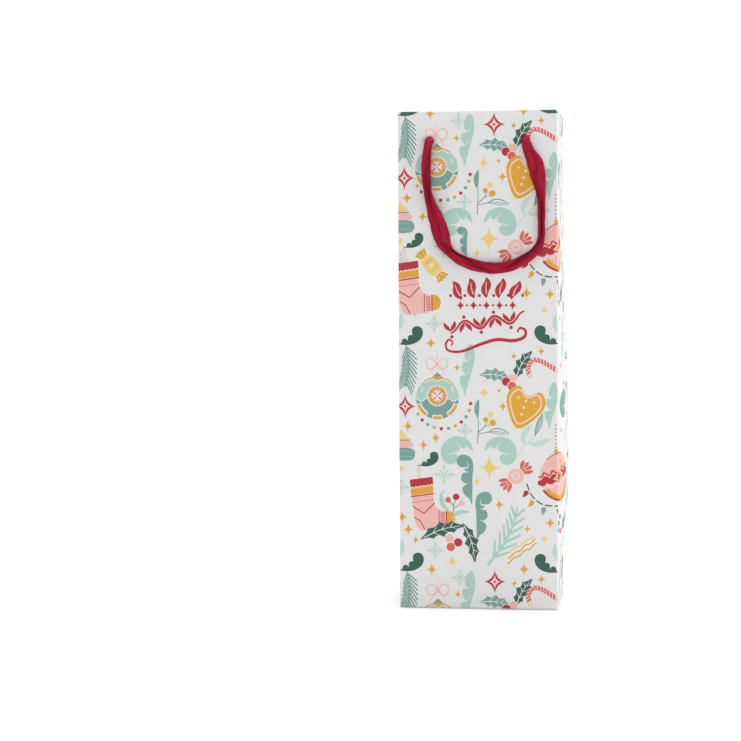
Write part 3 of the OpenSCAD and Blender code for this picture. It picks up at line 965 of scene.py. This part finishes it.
def to_side(x, y, z, right):
    """Points on the right, or their mirror image on the left."""
    return np.column_stack([x if right else -x, y, z])


def place_gusset(right):
    """One half of a gusset. Its inner face is mitred at the corner, where it turns against the panel."""
    def place(u, v, depth):
        y = gusset_y(u, right)
        share = np.clip(np.abs(y) / CORNER_Y, 0, 1)
        y = y - np.sign(y) * depth * share * (v > CROSS_Z)
        return to_side(W - depth + gusset_bow(y, v, right), y, v, right)

    return place


def place_gusset_hem(right):
    def place(u, v, depth):
        z, inset = over_rim(v, depth, GUSSET_WALL)
        return to_side(W - inset, gusset_y(u, right), z, right)

    return place


def place_foot(right, low):
    """The triangle at a gusset's foot. Its inner face is smaller, so that its edges are slanted."""
    def place(u, v, depth):
        y = gusset_y(u, right) * (1 - depth / 60)
        return to_side(FOOT_X - depth, y, v + depth * (v < low + 1), right)

    return place


def turned_under(w, r, z0, depth):
    """A wall that turns under the base. w runs up the wall from its foot, and back under the base below 0."""
    inward, z = np.where(w > r, depth, -w), np.where(w > r, z0 + w, z0 + depth)
    turn = np.clip((r - w) / (2 * r), 0, 1) * PI / 2
    bend = np.abs(w) <= r
    inward = np.where(bend, r - (r - depth) * np.cos(turn), inward)
    z = np.where(bend, z0 + r - (r - depth) * np.sin(turn), z)
    return inward, z


# ---------- the bag ----------

def strips(edge_at, r, low, high):
    """Mesh edges up a rounded corner, so that it turns in even steps."""
    return [[(edge_at + k * r / 2, low), (edge_at + k * r / 2, high)] for k in (-2, -1, 0, 1, 2)]


def panel_sheet(name, body, side, low, replaced):
    """The front or back panel, with the two punched holes through it and through its turned-in hem."""
    middle = 0 if side < 0 else REPEAT_U
    r = WALL / 2
    start = H - r
    inside_z = start + PI * r + H - r   # a height on the hem is this less v
    part_way = start + 1.9 * r          # the wraps round the corners end here, short of the hem
    hem_end = inside_z - HEM_Z
    half = [(WRAP_END, low), (WRAP_END, part_way), (HEM_HALF_W, part_way), (HEM_HALF_W, hem_end)]
    outline = [(middle + x, y) for x, y in half] + [(middle - x, y) for x, y in half[::-1]]
    hole_vs = (HOLE_Z, inside_z - HOLE_Z)
    holes = [arc(middle + s * HOLE_X, v, HOLE_R, count=32) for s in (-1, 1) for v in hole_vs]
    lines = []
    for s in (-1, 1):
        for line in strips(W, 1.6, low, 17) + strips(W, CORNER_R, 14, part_way):
            lines.append([(middle + s * x, v) for x, v in line])
    for k in range(9):
        v = start + k * PI * r / 8
        reach = WRAP_END if v < part_way else HEM_HALF_W
        lines.append([(middle - reach, v), (middle + reach, v)])
    lines += [[(middle - W, low + v), (middle + W, low + v)] for v in (0.6, 1.2, 2.4)]
    flat_to = 6 if side < 0 else 95     # height up to which the panel is flat
    sheet(name, body, place_panel(side, flat_to), outline, replaced, holes, lines)


def gusset_sheets(right, rear):
    """Half of a gusset above its slanting crease, and its hem. The rear half reaches the back's foot."""
    side = "right" if right else "left"
    body = f"{side}_{'rear' if rear else 'front'}"
    node_name = body.replace("_", "_gusset_")
    edge = CORNER_Y - SLIT
    top = H - GUSSET_WALL / 2
    slant = CROSS_Z + 0.05
    profile = [(slant - BACK_FOOT_Z, BACK_FOOT_Z + 0.05), (BACK_CORNER, BACK_FOOT_Z + 0.05),
               (BACK_CORNER, CROSS_Z - 0.1), (edge, CROSS_Z - 0.05)] if rear else [(edge, slant - edge)]
    profile = [(SLIT, slant), *profile, (edge, top), (SLIT, top)]
    sign = 1 if rear else -1
    outline = [(gusset_u(sign * y, right), z) for y, z in profile]
    piece = sheet(f"{node_name}_sheet", body, place_gusset(right), outline, [node_name])
    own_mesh(piece)
    stop = top + PI * GUSSET_WALL / 2 + top - HEM_Z
    levels = [top + k * PI * GUSSET_WALL / 12 for k in range(7)]
    us = sorted(gusset_u(sign * y, right) for y in (SLIT * 5, edge))
    hem_us = sorted(gusset_u(sign * y, right) for y in (0.4, GUSSET_HEM[1][1]))
    outline = [(us[0], top), (us[1], top), (us[1], levels[3]), (hem_us[1], levels[3]), (hem_us[1], stop),
               (hem_us[0], stop), (hem_us[0], levels[3]), (us[0], levels[3])]
    hem = sheet(f"{node_name}_hem_sheet", body, place_gusset_hem(right), outline, [f"{node_name}_hem"],
                lines=[[(us[0], z), (us[1], z)] for z in levels])
    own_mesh(hem)


def foot_sheets():
    """The triangle below each gusset's slanting creases, tucked just under the gusset's edge."""
    low = FOOT_Z + 0.03
    apex = CROSS_Z + 0.22
    half = CORNER_Y - 0.1
    for side in ("right", "left"):
        across = gusset_u(0, side == "right")
        outline = [(across - half, low), (across + half, low), (across + half, apex - half),
                   (across, apex), (across - half, apex - half)]
        sheet(f"{side}_foot_sheet", f"{side}_foot", place_foot(side == "right", low), outline,
              [f"{side}_gusset_foot"])


def back_foot_sheet():
    low = BACK_FOOT_Z + 0.02

    def place(u, v, depth):
        return np.column_stack([REPEAT_U - u, np.full(len(u), D) - depth, v + depth * (v < low + 1)])

    edge = W - 0.02
    sheet("back_foot_sheet", "rear_foot", place,
          [(REPEAT_U - edge, low), (REPEAT_U + edge, low), (REPEAT_U + edge, CROSS_Z - 0.03),
           (REPEAT_U - edge, CROSS_Z - 0.03)], ["back_foot"])


def mirrored(middle, half):
    """The outline of a stretch that is the same on both sides of its middle, from its right half."""
    return ([(middle + x, y) for x, y in half] + [(middle - x, y) for x, y in half[::-1]])[::-1]


def base_sheets():
    """The four flaps of the base: the rear one on the outside, the front one over it, then the short ones."""
    low, high = mm_box("base_outer_flap")
    cut_in, bend = 10, 0.9
    end = low[1] - D

    def outer(u, v, depth):
        inward, z = turned_under(v, bend, 0.0, depth)
        z = z - depth * smooth(v, BACK_FOOT_Z - 1, BACK_FOOT_Z)
        return np.column_stack([REPEAT_U - u, D - inward, z])

    half = [(-W, BACK_FOOT_Z - 0.02), (-W, end + cut_in), (cut_in - W, end)]
    bends = [[(REPEAT_U - W, k * bend / 3), (REPEAT_U + W, k * bend / 3)] for k in range(-3, 4)]
    sheet("base_outer_sheet", "base", outer, mirrored(REPEAT_U, half), ["base_outer_flap"], lines=bends)

    low, high = mm_box("base_inner_flap")
    reach = -(high[1] + D)

    def inner(u, v, depth):
        return np.column_stack([u, -D - v, low[2] + depth])

    half = [(W - 0.4, 0), (W - 0.4, reach + cut_in), (W - cut_in, reach)]
    sheet("base_inner_sheet", "base", inner, mirrored(0, half), ["base_inner_flap"])

    side_low, side_high = mm_box("base_right_flap")
    side_bend = 0.3
    edge, top = side_high[1], FOOT_Z - side_low[2] - 0.35
    reach = side_high[0] - side_low[0]
    for side in ("right", "left"):
        right = side == "right"
        across = gusset_u(0, right)

        def under(u, v, depth, right=right):
            inward, z = turned_under(v, side_bend, side_low[2], np.minimum(depth, 0.25))
            return to_side(side_high[0] - inward, gusset_y(u, right), z, right)

        half = [(edge, top), (edge, 0), (edge - reach * 0.6, -reach)]
        levels = [k * side_bend / 2 for k in range(-2, 3)]
        bends = [[(across - edge, v), (across + edge, v)] for v in levels]
        sheet(f"base_{side}_sheet", "base", under, mirrored(across, half), [f"base_{side}_flap"], lines=bends)


# ---------- ribbons ----------
# The front handle's route is the CAD one, seen from the front, from the left hole to the right one.
# Each point has x, z, how far the tape is rolled up, how deep a groove runs down it, which also sets the
# painted shade that darkens the tape along it, how far the tape is turned about its length, and where across
# it that groove lies, from -1 to 1. Angles are in degrees.

ROUTE = [
    (-34.5, 339, 270, 0.0, 0, 0), (-36, 331, 250, 0.5, 8, 0.3), (-36.6, 322, 235, 0.9, 16, 0.4),
    (-36.5, 312, 240, 1.4, 32, 0.4), (-35.3, 301, 240, 1.8, 44, 0.3), (-32.4, 291, 130, 1.3, 32, 0.1),
    (-28.8, 280, 50, 0.4, 2, -0.4), (-25.8, 270.5, 20, 0.1, -4, -0.6), (-22.8, 263, 165, 1.3, -26, -0.1),
    (-17.5, 257, 215, 1.7, -30, 0.2), (-9.5, 252.2, 180, 1.5, -14, 0.3), (1, 248.7, 175, 1.0, 10, 0.2),
    (13, 247.3, 175, 0.6, 22, -0.2), (24.5, 249.2, 195, 1.1, 8, 0), (35, 254.2, 205, 1.5, -18, 0.2),
    (43, 260.8, 250, 1.5, -8, 0.2), (45.8, 269.5, 315, 1.4, 6, 0), (46, 280, 330, 1.5, 10, 0),
    (46, 291, 325, 1.4, 4, 0), (45.6, 301, 225, 1.2, -12, 0.2), (43.8, 312, 80, 0.6, -18, 0.4),
    (41.4, 322, 75, 0.4, 4, -0.4), (37, 331, 180, 0.7, 18, 0), (34.5, 339, 270, 0.0, 0, 0),
]
TAPE = 0.9                              # thickness of the tape
STEPS = 8                               # rings between two points of the route


def rings_to_piece(name, rings, weave_and_shade):
    """Joins rings of points, each the same length, into a closed tube."""
    count, size = rings.shape[:2]
    faces = []
    for k in range(0, (count - 1) * size, size):
        faces += [(k + j, k + (j + 1) % size, k + size + (j + 1) % size, k + size + j) for j in range(size)]
    faces += [tuple(range(size))[::-1], tuple(range((count - 1) * size, count * size))]
    piece = mesh_from(name, rings.reshape(-1, 3), faces, np.zeros(len(faces)), (COTTON,))
    # The attribute holds the weave's coordinates along and across the tape, and the painted shade of its
    # creases.
    layer = piece.data.attributes.new("weave_and_shade", "FLOAT_VECTOR", "POINT")
    layer.data.foreach_set("vector", np.asarray(weave_and_shade, np.float32).ravel())
    return piece


def tape_section(roll, groove, tilt, at, run):
    """The tape's cross-section as a ring: across it and out from the panel. It is rolled towards the panel,
    and soft creases run down it that wander as run, the distance along it, grows. Returns the ring, how far
    across the tape each of its points is, and how much painted shade darkens its colour there, most in a
    crease."""
    s = np.linspace(-1, 1, 26)
    roll = math.radians(roll)
    creases = 0.34 * np.sin(7 * s + 0.17 * run) + 0.22 * np.sin(12 * s - 0.13 * run + 1)
    creases = creases * (0.7 + 0.3 * math.sin(0.12 * run)) * (1 - s ** 4)
    width = RIBBON_W * (1 + 0.03 * math.sin(0.5 * run) + 0.02 * math.sin(0.83 * run))
    r = width / roll + creases
    line = np.column_stack([r * np.sin(s * roll / 2), r * np.cos(s * roll / 2)])
    line[:, 1] -= groove * np.exp(-((s - at) / 0.2) ** 2) * 1.3
    # Painted shade: darker in the hollows of the creases and along the groove, for the material to darken the
    # red there.
    crease_shade = np.clip(0.25 - creases * 1.5, 0, 1) * 0.6 + 0.45 * groove * np.exp(-((s - at) / 0.4) ** 2)
    along = tangents(line)
    out = np.column_stack([-along[:, 1], along[:, 0]]) * TAPE / 2
    out = out * np.sqrt(np.clip(1.12 - np.abs(s) ** 6, 0.12, 1))[:, None]
    c, sn = math.cos(math.radians(tilt)), math.sin(math.radians(tilt))
    ring = np.vstack([line + out, (line - out)[::-1]]) @ np.array([[c, sn], [-sn, c]])
    low, high = ring.min(0), ring.max(0)
    across = np.r_[s, s[::-1]] * width / 2
    return ring - ((low[0] + high[0]) / 2, low[1]), across, np.r_[crease_shade, crease_shade[::-1]]


def ribbon(name, side, replaced):
    """A handle: one length of tape that leaves a hole, hangs as a loop and goes back into the other hole."""
    table = curve(ROUTE, STEPS)
    line = table[:, :2]
    run = np.r_[0, np.cumsum(np.linalg.norm(np.diff(line, axis=0), axis=1))]
    along = tangents(line)
    rings, weave_and_shade, centres = [], [], []
    for k, (roll, groove, tilt, at) in enumerate(table[:, 2:]):
        wobble = 8 * math.sin(run[k] * 0.23) + 6 * math.sin(run[k] * 0.11 + 2)
        ring, across, crease_shade = tape_section(max(roll + wobble, 20), max(groove, 0), tilt, at, run[k])
        lift = 0.55 + 0.35 * math.sin(run[k] * 0.05 + 1) ** 2     # off the panel
        points = line[k] + ring[:, :1] * np.array([-along[k][1], along[k][0]])
        rings.append(np.column_stack([points[:, 0], -(D + lift + ring[:, 1]), points[:, 1]]))
        # The third value is the painted shade in the creases.
        weave_and_shade.append(np.column_stack([np.full(len(across), run[k]), across, crease_shade]))
        centres.append([line[k][0], -(D + lift + ring[:, 1].mean()), line[k][1]])
    rings, weave_and_shade, centres = bend_into_holes(np.array(rings), weave_and_shade, np.array(centres))
    if side > 0:
        rings = (rings * (1, -1, 1))[:, ::-1]
        centres = centres * (1, -1, 1)
        weave_and_shade = [w[::-1] for w in weave_and_shade]
    piece = rings_to_piece(name, rings, np.vstack(weave_and_shade))
    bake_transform(piece)
    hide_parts(replaced)


def bend_into_holes(rings, weave_and_shade, centres):
    """Adds the last few millimetres at both ends, where the tape turns in through its hole."""
    turns = (25, 50, 72, 90, 90)        # degrees, of the rings added at each end
    reach = 2.6                         # the bend's radius
    sink = 2.2                          # how far the bend's start drops, so that the tape meets the hole
    straight = 1.7                      # from the bend to the last ring
    apart = 1.2                         # the added rings, along the weave

    def turn_in(ring, centre, hole_x):
        made, mids = [], []
        for k, angle in enumerate(turns):
            c, s = math.cos(math.radians(angle)), math.sin(math.radians(angle))
            x, y, z = ((ring - centre) * (1 + 0.06 * angle / 90)).T
            step = straight if k == len(turns) - 1 else 0
            mids.append(np.array([hole_x, centre[1] + reach * (1 - c) + step, centre[2] + reach * s - sink]))
            made.append(np.column_stack([x, y * c + z * s, z * c - y * s]) + mids[-1])
        return made, mids

    first, first_mid = turn_in(rings[0], centres[0], -HOLE_X)
    last, last_mid = turn_in(rings[-1], centres[-1], HOLE_X)
    head = [weave_and_shade[0] - (apart * (k + 1), 0, 0) for k in range(len(turns))][::-1]
    tail = [weave_and_shade[-1] + (apart * (k + 1), 0, 0) for k in range(len(turns))]
    rings = np.array(first[::-1] + list(rings) + last)
    return rings, head + list(weave_and_shade) + tail, np.array(first_mid[::-1] + list(centres) + last_mid)


def knot_rings(hole_x):
    """The tape's end from the hole through an overhand knot to its short tail, as rings of points."""
    count, size = 120, 14               # rings, and points on each
    seat = D - WALL
    t = np.linspace(0.35, 2 * PI - 0.35, 26)
    trefoil = [np.sin(t) + 2 * np.sin(2 * t), -np.sin(3 * t) * 0.8, np.cos(t) - 2 * np.cos(2 * t)]
    knot = np.column_stack(trefoil) * (1.3, 1.5, 1.3) + (hole_x, -seat + 3.0, HOLE_Z)
    start = [[hole_x, -D + 0.4, HOLE_Z], [hole_x, -seat - 0.2, HOLE_Z]]
    low = mm_box("front_knots")[0][2]
    tail = [[hole_x - 1, -seat + 3.4, HOLE_Z - 6], [hole_x - 0.6, -seat + 3.2, HOLE_Z - 11],
            [hole_x, -seat + 3, low]]
    path = evenly(curve(np.vstack([start, knot, tail]), 4), count)
    side = np.array([1.0, 0, 0])
    a = np.arange(size) * 2 * PI / size
    rings, weave_and_shade = [], []
    run = np.linspace(0, 90, count)
    for k, (point, t) in enumerate(zip(path, tangents(path))):
        side = side - t * (side @ t)
        side /= np.linalg.norm(side)
        flat = smooth(k, 100, 118)      # the tail is pressed flat again
        wide = 1.75 + 1.6 * flat + 0.12 * math.sin(k * 0.9)
        thick = 1.45 - 0.85 * flat
        pucker = 1 + 0.1 * np.cos(4 * a + k * 0.2) * (1 - flat)
        up = np.cross(t, side)
        ring = point + np.outer(wide * np.cos(a) * pucker, side)
        rings.append(ring + np.outer(thick * np.sin(a) * pucker, up))
        weave_and_shade.append(np.column_stack([np.full(size, run[k]), a * 1.6, np.zeros(size)]))
    return np.array(rings), np.vstack(weave_and_shade)


def knots(name, side, body, replaced):
    """Both knots of a handle, inside the bag."""
    bpy.ops.object.select_all(action="DESELECT")
    for k, hole_x in enumerate((-HOLE_X, HOLE_X)):
        rings, weave_and_shade = knot_rings(hole_x)
        if side > 0:
            rings = (rings * (1, -1, 1))[:, ::-1]
        piece = rings_to_piece(f"{name}_{k}", rings, weave_and_shade)
        piece.select_set(True)
        if k == 0:
            bpy.context.view_layer.objects.active = piece
    bpy.ops.object.join()
    piece = bpy.context.view_layer.objects.active
    piece.name = name
    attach(piece, body)
    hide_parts(replaced)
    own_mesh(piece)


# ---------- stage ----------

def add_stage():
    """A pale floor, a white room, and two soft lights, the stronger from the right."""
    size = 8.0
    floor = bpy.data.meshes.new("floor")
    corners = [(-size, -size, 0), (size, -size, 0), (size, size, 0), (-size, size, 0)]
    floor.from_pydata(corners, [], [(0, 1, 2, 3)])
    piece = bpy.data.objects.new("floor", floor)
    floor.materials.append(new_material("floor", (0.93, 0.93, 0.93), 0.8, 0.1)[0])
    bpy.context.scene.collection.objects.link(piece)
    studio_room()
    aim = Vector((0, 0, 0.2))
    for name, place, power in (("key", (1.6, -0.15, 0.5), 7.5), ("fill", (-1.6, 0.6, 0.7), 2)):
        light = bpy.data.objects.new(name, bpy.data.lights.new(name, "AREA"))
        light.data.shape = "SQUARE"
        light.data.size = 0.8
        light.data.energy = power
        light.location = place
        light.rotation_euler = (aim - Vector(place)).to_track_quat("-Z", "Y").to_euler()
        bpy.context.scene.collection.objects.link(light)
    bpy.context.scene.view_settings.view_transform = "Standard"


def studio_room():
    """White walls all round, a dimmer ceiling, and a broad soft light from straight above for the floor."""
    world = bpy.data.worlds.new("studio")
    world.use_nodes = True
    background = world.node_tree.nodes["Background"]
    background.inputs["Color"].default_value = (1, 1, 1, 1)
    way = node(world, "TexCoord").outputs["Generated"]
    height = node(world, "SeparateXYZ", {"Vector": way}).outputs["Z"]
    share = node(world, "MapRange", {
        "Value": height, "From Min": 0.22, "From Max": 0.6, "To Min": 1.02, "To Max": 0.42})
    world.node_tree.links.new(share.outputs["Result"], background.inputs["Strength"])
    bpy.context.scene.world = world
    sun = bpy.data.objects.new("ceiling_light", bpy.data.lights.new("ceiling_light", "SUN"))
    sun.data.energy = 2.4
    sun.data.angle = math.radians(30)
    bpy.context.scene.collection.objects.link(sun)


def dress(name, material):
    """Gives a CAD node that stays its own material."""
    mesh = frame["nodes"][name].data
    mesh.materials.clear()
    mesh.materials.append(material)


add_camera()
ribbon("front_ribbon", -1, "front_handle")
ribbon("back_ribbon", 1, "back_handle")
knots("front_tied_ends", -1, "front", "front_knots")
knots("back_tied_ends", 1, "back", "back_knots")
panel_sheet("front_sheet", "front", -1, BODY_Z, ["front_panel", "front_top_hem"])
panel_sheet("back_sheet", "back", 1, CROSS_Z + 0.03, ["back_panel", "back_top_hem"])
for is_right in (True, False):
    for is_rear in (True, False):
        gusset_sheets(is_right, is_rear)
foot_sheets()
back_foot_sheet()
base_sheets()
for card_node in ("base_board", "front_card_strip", "back_card_strip"):
    dress(card_node, CARD)
dress("side_seam_tab", PLAIN)
add_stage()
